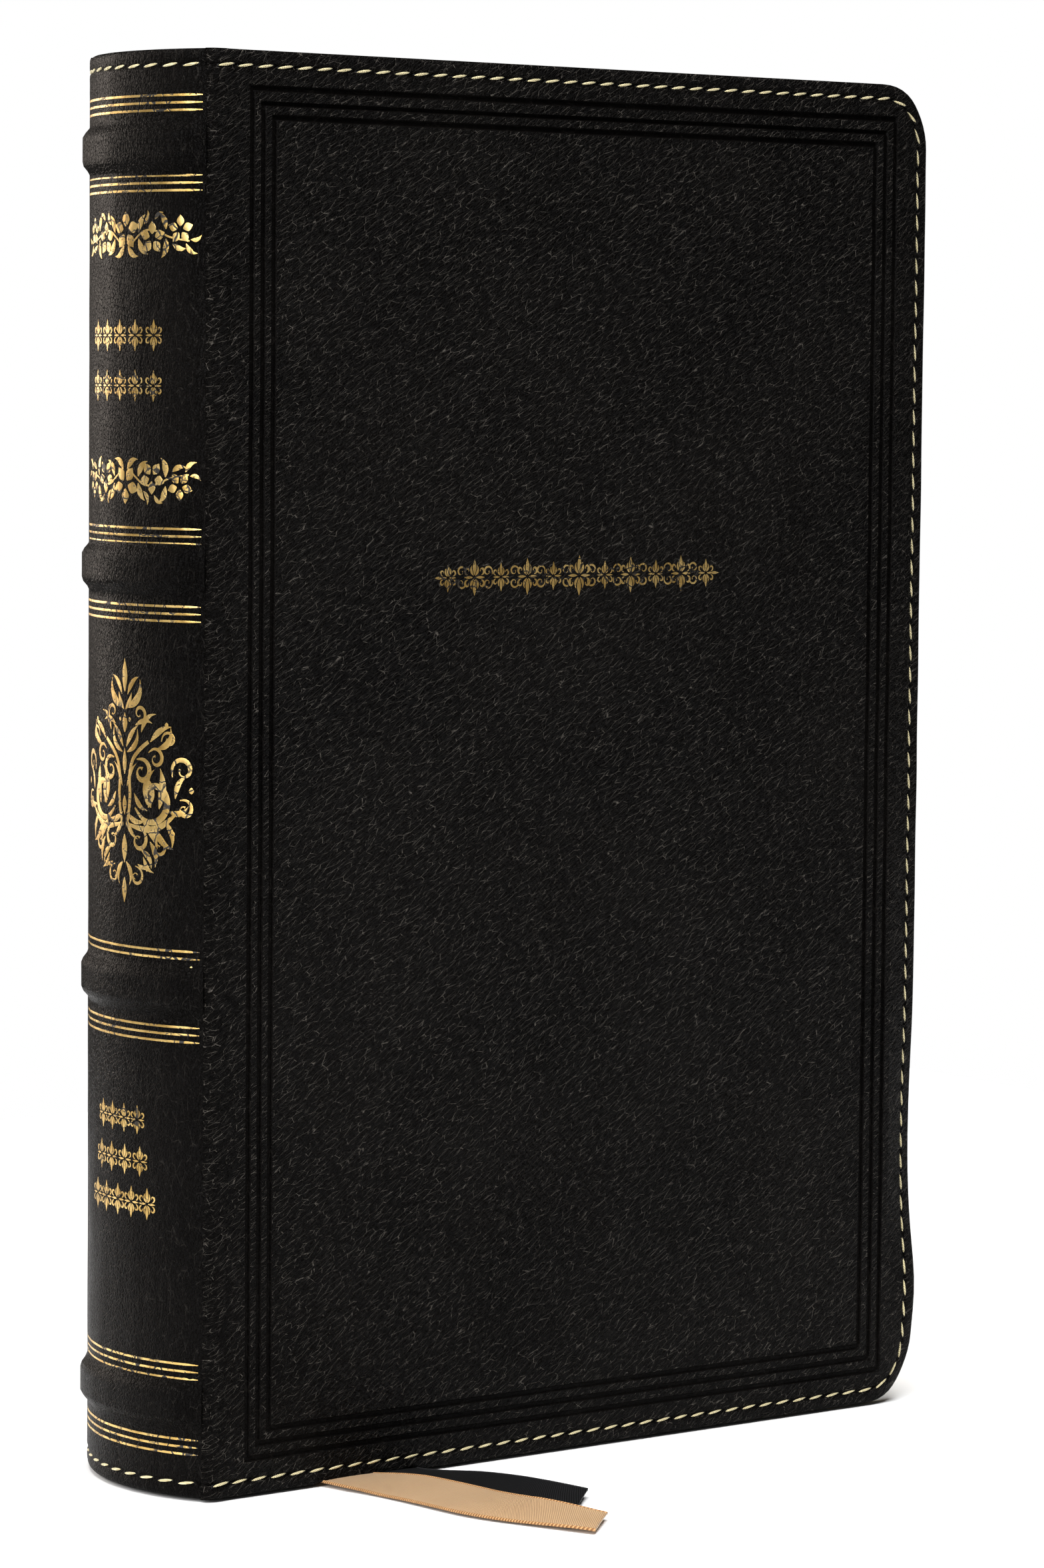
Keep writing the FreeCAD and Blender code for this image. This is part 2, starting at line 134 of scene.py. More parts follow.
class Finish:
    """A named material: its shader and the nodes that feed it."""

    def __init__(self, name, **constants):
        self.material = bpy.data.materials.new(name)
        self.material.use_nodes = True
        self.nodes = self.material.node_tree.nodes
        self.links = self.material.node_tree.links
        self.shader = self.nodes["Principled BSDF"]
        for socket, value in constants.items():
            self.shader.inputs[socket.replace("_", " ")].default_value = value
        self.place = self.node("ShaderNodeTexCoord", {}, {}, "Object")

    def node(self, kind, settings, sockets, out=0):
        made = self.nodes.new(kind)
        for key, value in settings.items():
            setattr(made, key, value)
        for key, value in sockets.items():
            if isinstance(value, Wire):
                self.links.new(value.socket, made.inputs[key])
            else:
                made.inputs[key].default_value = value
        return Wire(self, made.outputs[out])

    def uv(self):
        return self.node("ShaderNodeTexCoord", {}, {}, "UV")

    def parts(self, vector):
        """A vector's three numbers."""
        made = self.nodes.new("ShaderNodeSeparateXYZ")
        self.links.new(vector.socket, made.inputs[0])
        return [Wire(self, socket) for socket in made.outputs]

    def mapped(self, vector=None, turn=(0, 0, 0), stretch=(1, 1, 1)):
        turned = self.node("ShaderNodeMapping", {}, {"Vector": vector or self.place, "Rotation": turn})
        return self.node("ShaderNodeMapping", {}, {"Vector": turned, "Scale": stretch})

    def cloud(self, scale, detail=2.0, vector=None):
        sockets = {"Vector": vector or self.place, "Scale": scale, "Detail": detail}
        return self.node("ShaderNodeTexNoise", {}, sockets)

    def warped(self, scale, amount, vector=None):
        """The place, pushed about by a cloud."""
        vector = vector or self.place
        push = self.node("ShaderNodeTexNoise", {}, {"Vector": vector, "Scale": scale}, "Color")
        middle = self.node("ShaderNodeVectorMath", {"operation": "SUBTRACT"}, {0: push, 1: (0.5, 0.5, 0.5)})
        sized = self.node("ShaderNodeVectorMath", {"operation": "SCALE"}, {0: middle, "Scale": amount})
        return self.node("ShaderNodeVectorMath", {"operation": "ADD"}, {0: vector, 1: sized})

    def cells(self, scale, vector):
        """How far a point is from the crease round its cell."""
        return self.node("ShaderNodeTexVoronoi", {"feature": "DISTANCE_TO_EDGE"},
                         {"Vector": vector, "Scale": scale}, "Distance")

    def waves(self, value, turns):
        """A value made into even ridges from 0 to 1."""
        return (value * (turns * 2 * math.pi))._math("SINE") * 0.5 + 0.5

    def between(self, share, first, second):
        """One colour going over to another."""
        return self.blend_in(share, (*first, 1), (*second, 1))

    def blend_in(self, share, first, second):
        """The same for colours with an alpha, or worked out by nodes."""
        return self.node("ShaderNodeMix", {"data_type": "RGBA"}, {0: share, 6: first, 7: second}, 2)

    def feed(self, **sockets):
        for socket, wire in sockets.items():
            self.links.new(wire.socket, self.shader.inputs[socket.replace("_", " ")])
        return self.material

    def relief(self, height, depth, strength=1.0):
        """A bump as deep as the given distance in metres."""
        bump = self.node("ShaderNodeBump", {}, {"Height": height, "Distance": depth, "Strength": strength})
        self.feed(Normal=bump)


def leather_relief(finish, turn, stretch, cell, creasing):
    """Pebbled grain with longer creases, and a mask of the crease lines that get a painted highlight."""
    push = finish.warped(700, 0.0006)
    pebbles = finish.cells(cell, push).over(0.0, 0.16)
    pores = finish.cloud(5200, 1.0)
    drawn = finish.mapped(finish.warped(300, 0.0006), turn, stretch)
    wide = finish.cells(360, drawn)
    folds = wide.over(0.0, 0.10)
    narrow = finish.cells(800, drawn)
    finer = narrow.over(0.0, 0.14)
    patches = finish.cloud(30, 2.0).over(0.30, 0.58)
    depth = patches * creasing
    height = pebbles * 0.45 + pores * 0.12 + folds * depth + finer * (depth * 0.5 + 0.15)
    broken = finish.cloud(560, 1.0, drawn).over(0.38, 0.66)
    lit = wide.over(0.034, 0.0) + narrow.over(0.045, 0.0) * 0.35
    return height, lit * broken * (patches * 0.4 + 0.6)


def leather(name, turn, stretch, cell=1250, creasing=0.5, gloss=0.38, depth=0.00040):
    finish = Finish(name, IOR=1.46, Specular_IOR_Level=0.03)
    height, crease_highlight_mask = leather_relief(finish, turn, stretch, cell, creasing)
    shade = finish.cloud(38, 3.0)
    colour = finish.between(shade.over(0.3, 0.7), (0.0020, 0.0017, 0.0016), (0.0038, 0.0033, 0.0030))
    # Painted highlight: the broken crease lines are lightened in the base colour, standing in for light
    # caught on the creases.
    painted_crease_highlight = finish.between(crease_highlight_mask * creasing, (0, 0, 0), (0.120, 0.108, 0.094))
    total = finish.node("ShaderNodeVectorMath", {"operation": "ADD"}, {0: colour, 1: painted_crease_highlight})
    finish.feed(Base_Color=total, Roughness=finish.cloud(90, 2.0) * 0.16 + (gloss - 0.08))
    finish.relief(height, depth)
    return finish.material


def gold_foil(name):
    """Bright foil, cracked and rubbed through to the leather in places."""
    finish = Finish(name, Specular_IOR_Level=0.5)
    cracks = finish.cells(420, finish.warped(500, 0.0016)).over(0.075, 0.03)
    thin = finish.cloud(1500, 2.0, finish.mapped(stretch=(1, 1, 1.6))).over(0.60, 0.66)
    patch = finish.cloud(120, 1.0).over(0.42, 0.56)
    lost = finish.node("ShaderNodeMath", {"operation": "MAXIMUM"}, {0: cracks * patch, 1: thin * 0.85})
    tone = finish.between(finish.cloud(260, 3.0).over(0.35, 0.7), (0.52, 0.33, 0.095), (0.82, 0.58, 0.22))
    finish.feed(Base_Color=finish.blend_in(lost, tone, (0.012, 0.009, 0.006, 1)), Metallic=(1 - lost) * 0.85,
                Roughness=finish.cloud(900, 2.0) * 0.2 + lost * 0.2 + 0.28)
    finish.relief(finish.cloud(1300, 2.0) + (1 - lost) * 0.8, 0.00003)
    return finish.material


def thread(name, light, dark, twist=2600):
    """Plied thread: slanting strands and a little fuzz."""
    finish = Finish(name, Sheen_Weight=0.25, Sheen_Roughness=0.4)
    x, y, z = finish.parts(finish.place)
    strands = finish.waves(x + z + y * 0.5, twist)
    # Painted highlight and shade: the base colour runs from light on the strands' crests to dark between
    # them, along the same ridges as the bump.
    finish.feed(Base_Color=finish.between(strands * 0.6 + finish.cloud(1800, 2.0) * 0.4, dark, light),
                Roughness=strands * 0.2 + 0.5)
    finish.relief(strands, 0.00006)
    return finish.material


def satin(name, light, dark, ribs, gloss, step, sheen, shine):
    """Ribbon cloth with slanting ribs, from the ribbon's own length and breadth."""
    finish = Finish(name, Sheen_Weight=sheen, Sheen_Roughness=0.35, Specular_IOR_Level=shine)
    along, across, _ = finish.parts(finish.uv())
    ribbing = finish.waves(along * ribs + across * step, 1.0)
    fine = finish.waves(across, 55)
    mottle = finish.cloud(180, 3.0)
    finish.feed(Base_Color=finish.between(ribbing * 0.7 + mottle * 0.2 + fine * 0.1, dark, light),
                Roughness=ribbing * 0.12 + gloss)
    finish.relief(ribbing + fine * 0.3, 0.00007)
    return finish.material


def corded(name, light, dark, turns):
    """A ribbon's woven edge, twisted like cord."""
    finish = Finish(name, Sheen_Weight=0.02, Specular_IOR_Level=0.2)
    along, around, _ = finish.parts(finish.uv())
    twist = finish.waves(along * turns + around, 1.0)
    finish.feed(Base_Color=finish.between(twist * 0.8 + finish.cloud(900) * 0.2, dark, light),
                Roughness=twist * 0.15 + 0.48)
    finish.relief(twist, 0.00018)
    return finish.material


def paper(name, light, dark, gilt=True):
    """Thin printed paper: cream faces, and gilt where the leaves' edges show."""
    finish = Finish(name, Specular_IOR_Level=0.3)
    _, face, _ = finish.parts(finish.node("ShaderNodeTexCoord", {}, {}, "Normal"))
    edge = face._math("ABSOLUTE").over(0.75, 0.55)
    leaves = finish.cloud(1.0, 4.0, finish.mapped(stretch=(14, 6200, 14)))
    broad = finish.cloud(1.0, 2.0, finish.mapped(stretch=(9, 1300, 9)))
    fibres = finish.cloud(2400, 3.0)
    cream = finish.between(finish.cloud(60, 3.0) * 0.6 + fibres * 0.4, dark, light)
    rough = fibres * 0.2 + 0.6
    if gilt:
        gold = finish.between(leaves * 0.6 + broad * 0.4, (0.46, 0.29, 0.09), (0.86, 0.66, 0.30))
        finish.feed(Metallic=edge * 0.9)
        cream = finish.blend_in(edge, cream, gold)
        rough = rough - edge * 0.32
    finish.feed(Base_Color=cream, Roughness=rough)
    finish.relief(leaves * edge + broad * edge + fibres * 0.15, 0.00012)
    return finish.material


def fibrous(name, light, dark, scale, depth, weave=0.0):
    """Board, lining paper or open-weave cloth."""
    finish = Finish(name, Specular_IOR_Level=0.3)
    flecks = finish.cloud(scale, 4.0)
    height = flecks
    if weave:
        x, y, z = finish.parts(finish.place)
        height = finish.waves(z, weave) * finish.waves(x + y, weave) + flecks * 0.3
    finish.feed(Base_Color=finish.between(height.over(0.3, 0.75), dark, light),
                Roughness=flecks * 0.15 + 0.68)
    finish.relief(height, depth)
    return finish.material


def banded_silk(name):
    """Silk wound in two colours round the end band."""
    finish = Finish(name, Sheen_Weight=0.3)
    x, y, _ = finish.parts(finish.place)
    turn = finish.node("ShaderNodeMath", {"operation": "ARCTAN2"}, {0: y, 1: 0 - (x - SPINE_CENTRE * MM)})
    stripes, winds = finish.waves(turn, 14).over(0.42, 0.58), finish.waves(turn, 90)
    finish.feed(Base_Color=finish.between(stripes, (0.02, 0.017, 0.015), (0.66, 0.50, 0.22)),
                Roughness=winds * 0.2 + 0.4)
    finish.relief(winds, 0.00012)
    return finish.material


DIAGONAL = (0, math.radians(32), 0)
FRONT_LEATHER = leather("black_leather_cover", DIAGONAL, (1, 1, 3.6), creasing=0.9)
PRESSED_LEATHER = leather("pressed_leather_line", DIAGONAL, (1, 1, 1), creasing=0.05, depth=0.00008)
SPINE_LEATHER = leather("black_leather_spine", (0, 0, 0), (2.2, 2.2, 0.8), cell=1500,
                        creasing=0.12, gloss=0.36, depth=0.00034)
GOLD = gold_foil("crackled_gold_foil")
STITCH_THREAD = thread("pale_yellow_thread", (0.93, 0.85, 0.55), (0.40, 0.31, 0.12))
# Painted shade: near-black blobs sunk at the stitches' ends stand for the shade inside the needle holes.
HOLE_SHADE_FINISH = fibrous("painted_hole_shade", (0.004, 0.004, 0.003), (0.001, 0.001, 0.001), 2000, 0.00003)
TAN_SATIN = satin("tan_satin", (0.66, 0.44, 0.24), (0.30, 0.16, 0.07), 400, 0.30, 17.0,
                  0.25, 0.4)
BLACK_SATIN = satin("black_satin", (0.014, 0.014, 0.015), (0.002, 0.002, 0.002), 390, 0.42, 17.0,
                    0.01, 0.08)
TAN_CORD = corded("tan_ribbon_cord", (0.72, 0.42, 0.19), (0.20, 0.075, 0.02), 230)
BLACK_CORD = corded("black_ribbon_cord", (0.016, 0.016, 0.018), (0.003, 0.003, 0.004), 240)
GILT_PAPER = paper("gilt_edged_paper", (0.86, 0.82, 0.70), (0.76, 0.71, 0.58))
END_PAPER = paper("end_leaf_paper", (0.88, 0.85, 0.76), (0.80, 0.76, 0.66))

# ------------------------------------------------------------------ making pieces


def piece_from(bm, name, material, replaces=()):
    """Finishes a shape drawn in millimetres as a piece at its place."""
    bmesh.ops.scale(bm, vec=(MM, MM, MM), verts=bm.verts)
    mesh = bpy.data.meshes.new(name)
    bm.to_mesh(mesh)
    bm.free()
    mesh.polygons.foreach_set("use_smooth", [True] * len(mesh.polygons))
    mesh.set_sharp_from_angle(angle=math.radians(52))
    mesh.materials.append(material)
    piece = bpy.data.objects.new(name, mesh)
    scene.collection.objects.link(piece)
    if replaces:
        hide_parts(*replaces)
    return piece


def everything(bm, tag=None):
    """All of a shape, or only its faces with a tag, as an operator wants it."""
    if tag is None:
        return bm.verts[:] + bm.edges[:] + bm.faces[:]
    faces = [f for f in bm.faces if f.material_index == tag]
    return list({v for f in faces for v in f.verts}) + list({e for f in faces for e in f.edges}) + faces


def cut(bm, axis, at, tag=None, clear=0):
    """Cuts across at one place; clear is the side to take away, if any."""
    where, way = Vector(), Vector()
    where[axis], way[axis] = at, clear or 1
    bmesh.ops.bisect_plane(bm, geom=everything(bm, tag), dist=1e-4, plane_co=where, plane_no=way,
                           clear_outer=bool(clear))


# ------------------------------------------------------------------ ribbons


def route_points(name, stations):
    """Points read from a smooth line through the ribbon's route."""
    curve = bpy.data.curves.new(name, "CURVE")
    curve.dimensions = "3D"
    spline = curve.splines.new("NURBS")
    spline.points.add(len(stations) - 1)
    for point, place in zip(spline.points, stations):
        point.co = (*(c * MM for c in place), 1)
    spline.order_u = 3
    spline.use_endpoint_u = True
    spline.resolution_u = 24
    holder = bpy.data.objects.new(name, curve)
    mesh = bpy.data.meshes.new_from_object(holder)
    points = [v.co / MM for v in mesh.vertices]
    bpy.data.objects.remove(holder)
    bpy.data.curves.remove(curve)
    bpy.data.meshes.remove(mesh)
    return points


def ribbon_frames(points, lift):
    """The line's breadth and face directions, the far edge lifted a little on the table."""
    frames, level = [], Vector((0, -1, 0))
    for n, point in enumerate(points):
        along = (points[min(n + 1, len(points) - 1)] - points[max(n - 1, 0)]).normalized()
        if math.hypot(along.x, along.y) > 0.9:
            level = Vector((along.x, along.y, 0)).normalized()
        tilt = lift(-point.y)
        breadth = Vector((0, 0, 1)).cross(level) * math.cos(tilt) + Vector((0, 0, math.sin(tilt)))
        frames.append((point, breadth, along.cross(breadth).normalized(), along))
    return frames


def strip(frames, rows, shape):
    """A grid laid along the line: shape says where each row of it goes at a station."""
    bm = bmesh.new()
    bm.loops.layers.uv.new("UVMap")
    bmesh.ops.create_grid(bm, x_segments=len(frames) - 1, y_segments=rows, size=1, calc_uvs=True)
    for vert in bm.verts:
        n = round((vert.co.x + 1) / 2 * (len(frames) - 1))
        vert.co = shape(*frames[n], (vert.co.y + 1) / 2)
    return bm


def ribbon(name, stations, breadth, lift, end_cut, cloth, cord):
    points = route_points(name, stations)
    frames = ribbon_frames(points, lift)
    last, across, _, along = frames[-1]
    blade = Vector((along.x, along.y, 0)).normalized() * math.cos(end_cut) \
        + Vector((across.x, across.y, 0)).normalized() * math.sin(end_cut)

    def trim(bm):
        bmesh.ops.bisect_plane(bm, geom=everything(bm), dist=1e-4, clear_outer=True,
                               plane_co=last - along * (breadth / 2 * math.tan(end_cut)), plane_no=blade)

    def cloth_row(point, side, face, _, share):
        crown = 0.12 * math.sin(share * math.pi)
        return point + side * breadth * (share - 0.5) + face * crown

    sheet = strip(frames, 14, cloth_row)
    trim(sheet)
    piece = piece_from(sheet, f"{name}_cloth", cloth, [name])
    thick = piece.modifiers.new("cloth_thickness", "SOLIDIFY")
    thick.thickness, thick.offset = 0.00022, 0
    edges = bmesh.new()
    for side_of in (-1, 1):
        def cord_row(point, side, face, _, share):
            middle = point + side * (breadth / 2 - 0.1) * side_of
            turn = share * 2 * math.pi
            return middle + side * math.cos(turn) * 0.27 + face * math.sin(turn) * 0.24
        tube = strip(frames, 8, cord_row)
        bmesh.ops.remove_doubles(tube, verts=tube.verts, dist=0.01)
        trim(tube)
        bmesh.ops.holes_fill(tube, edges=[e for e in tube.edges if e.is_boundary])
        half = bpy.data.meshes.new("half_edging")
        tube.to_mesh(half)
        tube.free()
        edges.from_mesh(half)
        bpy.data.meshes.remove(half)
    bmesh.ops.recalc_face_normals(edges, faces=edges.faces)
    edging = piece_from(edges, f"{name}_edging", cord)
    for made in (piece, edging):
        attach(made, "book_block")


ribbon("tan_ribbon",
       [(-41.5, 0, 216.4), (-41.5, 0, 110), (-41.5, 0, 12), (-41.5, -0.2, 0.45), (-41.6, -10, 0.35),
        (-41.9, -17.5, 0.4), (-38.6, -27, 0.8), (-36.9, -37.5, 1.0), (-35.6, -47, 1.0), (-30.6, -57, 0.9),
        (-26.4, -65.4, 0.45)],
       9.5, lambda y: math.radians(9.5 * smooth(17, 30, y) * (1 - 0.9 * smooth(52, 66, y))),
       math.radians(16), TAN_SATIN, TAN_CORD)
ribbon("black_ribbon",
       [(-31.5, 0, 216.4), (-31.5, 0, 110), (-31.5, 0, 12), (-31.5, -0.2, 0.4), (-32.6, -10, 0.3),
        (-33.6, -18, 0.3), (-30.6, -26, 0.45), (-26.2, -33, 0.7), (-23.0, -41, 0.7), (-20.1, -53.5, 0.5)],
       9.5, lambda y: math.radians(5 * smooth(20, 32, y)),
       math.radians(30), BLACK_SATIN, BLACK_CORD)

# ------------------------------------------------------------------ the covers' surface

FRAMES = (
    (FOLD_X + 6.35, FORE_EDGE - 8.3, 5.7, HEIGHT - 5.7),
    (FOLD_X + 8.35, FORE_EDGE - 10.4, 7.9, HEIGHT - 7.9),
    (FOLD_X + 10.3, FORE_EDGE - 12.6, 10.0, HEIGHT - 10.0),
)
LINE_EDGES = (-0.50, -0.28, 0.28, 0.50)
LINE_DEPTH = 0.42


def lie(side, x, z):
    """How far a cover's leather stands from flat: the fore-edge curls in and waves a little."""
    seed = 0 if side == "front" else 40
    reach = smooth(FORE_EDGE - 9, FORE_EDGE, x) ** 1.6
    curl = -1.5 * reach
    if side == "front":
        curl += reach * (1.5 * math.exp(-((z - 19) / 9) ** 2) - 0.9 * math.exp(-((z - 46) / 15) ** 2))
    slant = x * 0.82 + z * 0.57
    cross = z * 0.82 - x * 0.57
    swell = noise.noise(Vector((slant / 26, cross / 9, seed))) * 0.10
    strip = math.exp(-((x - FOLD_X - 1.5) / 0.9) ** 2)
    creases = noise.noise(Vector((x / 2.4, (z + x * 0.5) / 0.9, seed + 5)))
    return curl + swell * smooth(0, 8, z) * smooth(0, 8, HEIGHT - z) + strip * (0.2 + 0.13 * creases)


def pressed(x, z):
    """How deep the tooled frame lines go at a point."""
    half = LINE_EDGES[2] + 0.01
    for x0, x1, z0, z1 in FRAMES:
        upright = min(abs(x - x0), abs(x - x1)) < half and z0 - half <= z <= z1 + half
        level = min(abs(z - z0), abs(z - z1)) < half and x0 - half <= x <= x1 + half
        if upright or level:
            return LINE_DEPTH
    return 0.0


def to_side(side):
    """From a flat cover, height upwards, to its place in the book."""
    way = -1 if side == "front" else 1
    return Matrix(((1, 0, 0, 0), (0, 0, way, way * INNER_FACE), (0, 1, 0, 0), (0, 0, 0, 1)))


def cover_outline(bm):
    """The cover's face with its two round corners, drawn past the fold."""
    bmesh.ops.create_grid(bm, x_segments=1, y_segments=1, size=0.5)
    width = FORE_EDGE - FOLD_X + 20
    bmesh.ops.scale(bm, vec=(width, HEIGHT, 1), verts=bm.verts)
    bmesh.ops.translate(bm, vec=(FORE_EDGE - width / 2, HEIGHT / 2, 0.5), verts=bm.verts)
    corners = [v for v in bm.verts if v.co.x > 0]
    bmesh.ops.bevel(bm, geom=corners, affect="VERTICES", offset=CORNER, segments=12, profile=0.5, material=-1)
    return next(iter(bm.faces))


RIM = ((0.06, 0.42), (0.14, 0.28), (0.28, 0.16), (0.4, 0.05), (0.65, 0.02), (0.5, -0.05), (0.2, -0.22),
       (0.18, -0.10), (0.18, 0.10), (0.2, 0.22), (0.55, 0.05), (0.7, -0.02))
PARED = 2.2                # the height of the leather's underside where it is pared thin for the fold
FOLD_STEPS = ((-66.9, 2.66, 2.02), (-67.3, 2.36, 1.74), (-67.55, 2.0, 1.48), (-67.7, 1.66, 1.3),
              (-67.74, 1.46, 1.2))


def bare_cover(side):
    bm = bmesh.new()
    under = cover_outline(bm)
    raised = bmesh.ops.extrude_face_region(bm, geom=[under])["geom"]
    over = next(g for g in raised if isinstance(g, bmesh.types.BMFace))
    bmesh.ops.translate(bm, vec=(0, 0, 1.4), verts=over.verts)
    under = min(bm.faces, key=lambda face: face.calc_center_median().z)
    bmesh.ops.recalc_face_normals(bm, faces=bm.faces)
    for inset, rise in RIM:
        bmesh.ops.inset_region(bm, faces=[over], thickness=inset, depth=rise, use_even_offset=True,
                               use_boundary=True)
    for inset, rise in ((0.12, 0.3), (0.3, 0.2)):
        bmesh.ops.inset_region(bm, faces=[under], thickness=inset, depth=rise, use_even_offset=True,
                               use_boundary=True)
    over.material_index = 1
    cut(bm, 0, COVER_LOW.x, clear=-1)
    for n in range(7):
        cut(bm, 0, COVER_LOW.x + 0.6 * (n + 1))
    for n in range(1, 40):
        cut(bm, 0, COVER_LOW.x + 3.5 * n + 1.0)
    for n in range(1, 74):
        cut(bm, 1, 2.95 * n)
    for x0, x1, z0, z1 in FRAMES:
        for step in LINE_EDGES:
            for axis, at in ((0, x0 + step), (0, x1 + step), (1, z0 + step), (1, z1 + step)):
                cut(bm, axis, at, tag=1)
    return bm


def shape_cover(bm, side):
    """Tooled lines with smooth leather in them, thin leather at the fold and the curl of the fore-edge."""
    tooled = {v for f in bm.faces if f.material_index == 1 for v in f.verts if pressed(*v.co.xy)}
    for face in bm.faces:
        face.material_index = sum(v in tooled for v in face.verts) > 1
    for vert in bm.verts:
        x, z, height = vert.co
        if vert in tooled:
            height -= pressed(x, z)
        if height < 1.0:
            height += PARED * (1 - smooth(FOLD_X + 2.0, FOLD_X + 4.4, x)) * (1 - height / COVER_DEPTH)
        vert.co.z = height + lie(side, x, z)
        if side == "front" and z < 1.0 and -47 < x < -26:
            vert.co.y = max(z, 0.6 * smooth(-47.5, -46, x) * (1 - smooth(-28.5, -27, x)))
    base_low, base_top = PARED, COVER_DEPTH
    for at, top, low in FOLD_STEPS:
        edges = [e for e in bm.edges if e.is_boundary]
        new = bmesh.ops.extrude_edge_only(bm, edges=edges)["geom"]
        for vert in (g for g in new if isinstance(g, bmesh.types.BMVert)):
            share = (vert.co.z - base_low) / (base_top - base_low)
            vert.co.x, vert.co.z = at, low + share * (top - low)
        base_low, base_top = low, top
    bmesh.ops.holes_fill(bm, edges=[e for e in bm.edges if e.is_boundary])


def bends(piece, side):
    """Bakes a piece's place into its shape, the same for either side.
    """
    if side == "front":
        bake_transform(piece)
    else:
        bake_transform(piece)


def cover_leather(side):
    bm = bare_cover(side)
    shape_cover(bm, side)
    bmesh.ops.transform(bm, matrix=to_side(side), verts=bm.verts)
    bmesh.ops.recalc_face_normals(bm, faces=bm.faces)
    piece = piece_from(bm, f"{side}_cover_leather", FRONT_LEATHER,
                       [f"{side}_leather", f"{side}_board"])
    piece.data.materials.append(PRESSED_LEATHER)
    bends(piece, side)


for side in ("front", "back"):
    cover_leather(side)

# ------------------------------------------------------------------ the spine


def spine_height(u, z):
    """The spine's leather over its cords: raised bands that die away towards the folds."""
    height = noise.noise(Vector((u / 3.2, z / 16, 7))) * 0.07
    outer = smooth(13.2, 17.6, abs(u))
    for n, band in enumerate(BANDS):
        away = abs(z - band)
        height += BAND_RISE * (1 - smooth(1.9, 4.0, away)) * (1 - 0.75 * outer)
        height -= 0.12 * math.exp(-((away - 4.4) / 0.7) ** 2) * (1 - outer)
        pucker = math.exp(-(away / 3.4) ** 2) * smooth(13.5, 16.4, abs(u))
        height += pucker * 0.26 * noise.noise(Vector((u / 1.6, z / 0.7, n * 9)))
    for edge in (z, HEIGHT - z):
        height -= 0.22 * math.exp(-((edge - STITCH_EDGE) / 0.42) ** 2)
        if edge < 0.9:
            height -= 0.9 - math.sqrt(max(0.0, 0.81 - (0.9 - edge) ** 2))
    return height


def round_spine(bm):
    """Bends a flat drawing, breadth and height, round the spine."""
    for vert in bm.verts:
        u, z, height = vert.co
        turn, reach = u / SPINE_RADIUS, SPINE_RADIUS + height
        vert.co = (SPINE_CENTRE - reach * math.cos(turn), -reach * math.sin(turn), z)


def spine_cover():
    bm = bmesh.new()
    bmesh.ops.create_grid(bm, x_segments=44, y_segments=300, size=0.5)
    bmesh.ops.scale(bm, vec=(HALF_SPINE * 2, HEIGHT, 1), verts=bm.verts)
    bmesh.ops.translate(bm, vec=(0, HEIGHT / 2, 0), verts=bm.verts)
    for near in (0.06, 0.2, 0.42, 2.1, 2.4, 2.7):
        cut(bm, 1, near)
        cut(bm, 1, HEIGHT - near)
    for vert in bm.verts:
        vert.co.z = spine_height(vert.co.x, vert.co.y)
    inner = bmesh.ops.extrude_face_region(bm, geom=bm.faces[:])["geom"]
    for vert in (g for g in inner if isinstance(g, bmesh.types.BMVert)):
        vert.co.z = -1.0
    bmesh.ops.recalc_face_normals(bm, faces=bm.faces)
    round_spine(bm)
    nodes = ["spine_leather"] + [f"raised_band_{n}" for n in range(1, 5)]
    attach(piece_from(bm, "spine_cover", SPINE_LEATHER, nodes), "book_block")


spine_cover()

# ------------------------------------------------------------------ stitching

STITCH = (2.85, 0.46, 0.44)
# The size of the dark blob of painted shade in each needle hole.
HOLE = (0.34, 0.30, 0.12)
SLANT = math.radians(9)
LINING_THREAD = -0.52      # just proud of the lining, clear of the leaf that lies on it


def stitch(bm, hole_shade_blobs, middle, along, out):
    """One stitch lying on the leather, with a near-black blob of painted shade in each needle hole that it
    goes down into.
    """
    along = Quaternion(out, SLANT) @ along.normalized()
    turn = Matrix((along, out.cross(along), out)).transposed().to_4x4()
    size = Matrix.Diagonal((*(s / 2 for s in STITCH), 1))
    bmesh.ops.create_uvsphere(bm, u_segments=8, v_segments=6, radius=1,
                              matrix=Matrix.Translation(middle + out * 0.06) @ turn @ size)
    for end in (-1, 1) if hole_shade_blobs else ():
        at = middle + along * end * STITCH[0] * 0.47 - out * 0.06
        bmesh.ops.create_uvsphere(hole_shade_blobs, u_segments=6, v_segments=4, radius=1,
                                  matrix=Matrix.Translation(at) @ turn @ Matrix.Diagonal((*HOLE, 1)))


def cover_places():
    """Where the stitches of a cover go, with their direction, from the tail round to the head."""
    bend, start = CORNER - STITCH_EDGE, FOLD_X + 1.6
    run = FORE_EDGE - CORNER - start
    quarter, rise = bend * math.pi / 2, HEIGHT - 2 * CORNER
    total = 2 * run + 2 * quarter + rise
    count = int(total / 3.55)
    far, top = FORE_EDGE - STITCH_EDGE, HEIGHT - STITCH_EDGE
    for n in range(count + 1):
        s = n * total / count
        if s <= run:
            yield start + s, STITCH_EDGE, 0.0
        elif s <= run + quarter:
            a = (s - run) / bend
            yield far - bend + bend * math.sin(a), STITCH_EDGE + bend - bend * math.cos(a), a
        elif s <= run + quarter + rise:
            yield far, CORNER + s - run - quarter, math.pi / 2
        elif s <= run + 2 * quarter + rise:
            a = math.pi / 2 + (s - run - quarter - rise) / bend
            yield far - bend + bend * math.sin(a), top - bend - bend * math.cos(a), a
        else:
            yield far - bend - (s - run - 2 * quarter - rise), top, math.pi


